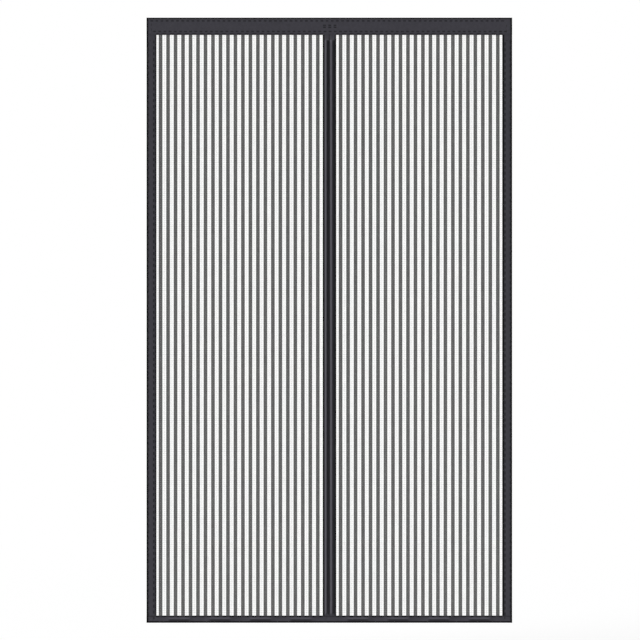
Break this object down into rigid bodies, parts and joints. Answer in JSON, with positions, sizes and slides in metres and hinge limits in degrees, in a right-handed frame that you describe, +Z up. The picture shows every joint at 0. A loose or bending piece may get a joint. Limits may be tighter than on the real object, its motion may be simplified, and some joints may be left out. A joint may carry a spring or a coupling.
{
  "type": "magnetic insect screen",
  "caption": "Hanging doorway insect screen: striped net in two halves, bound with dark tape, closing down the middle with magnet strips.",
  "frame": {"origin": "middle of the back face of the loop tape on the header", "axes": "+Z up, -Y the front that is seen from the room, +Y the door frame that the loop tapes stick to, +X to the right seen from the front"},
  "size_m": [1.208, 0.007, 2],
  "materials": {
    "net_weave": "woven polyester net, dark grey dense bands and pale sheer bands",
    "binding_tape": "matte woven polyester tape",
    "sleeve_satin": "satin-faced woven tape",
    "loop_tape": "napped loop side of hook-and-loop tape",
    "magnet_strip": "flexible magnet strip",
    "hem_weight": "plain steel bar"
  },
  "bodies": {
    "root": {"net_left": "net_weave", "net_right": "net_weave", "header_binding": "binding_tape", "left_side_binding": "binding_tape", "right_side_binding": "binding_tape", "left_hem_binding": "binding_tape", "right_hem_binding": "binding_tape", "left_hem_weight_1": "hem_weight", "left_hem_weight_2": "hem_weight", "left_hem_weight_3": "hem_weight", "left_hem_weight_4": "hem_weight", "right_hem_weight_1": "hem_weight", "right_hem_weight_2": "hem_weight", "right_hem_weight_3": "hem_weight", "right_hem_weight_4": "hem_weight", "left_magnet_sleeve": "sleeve_satin", "right_magnet_sleeve": "sleeve_satin", "left_magnet_strip": "magnet_strip", "right_magnet_strip": "magnet_strip", "header_loop_tape": "loop_tape", "left_side_loop_tape": "loop_tape", "right_side_loop_tape": "loop_tape"}
  },
  "joints": []
}
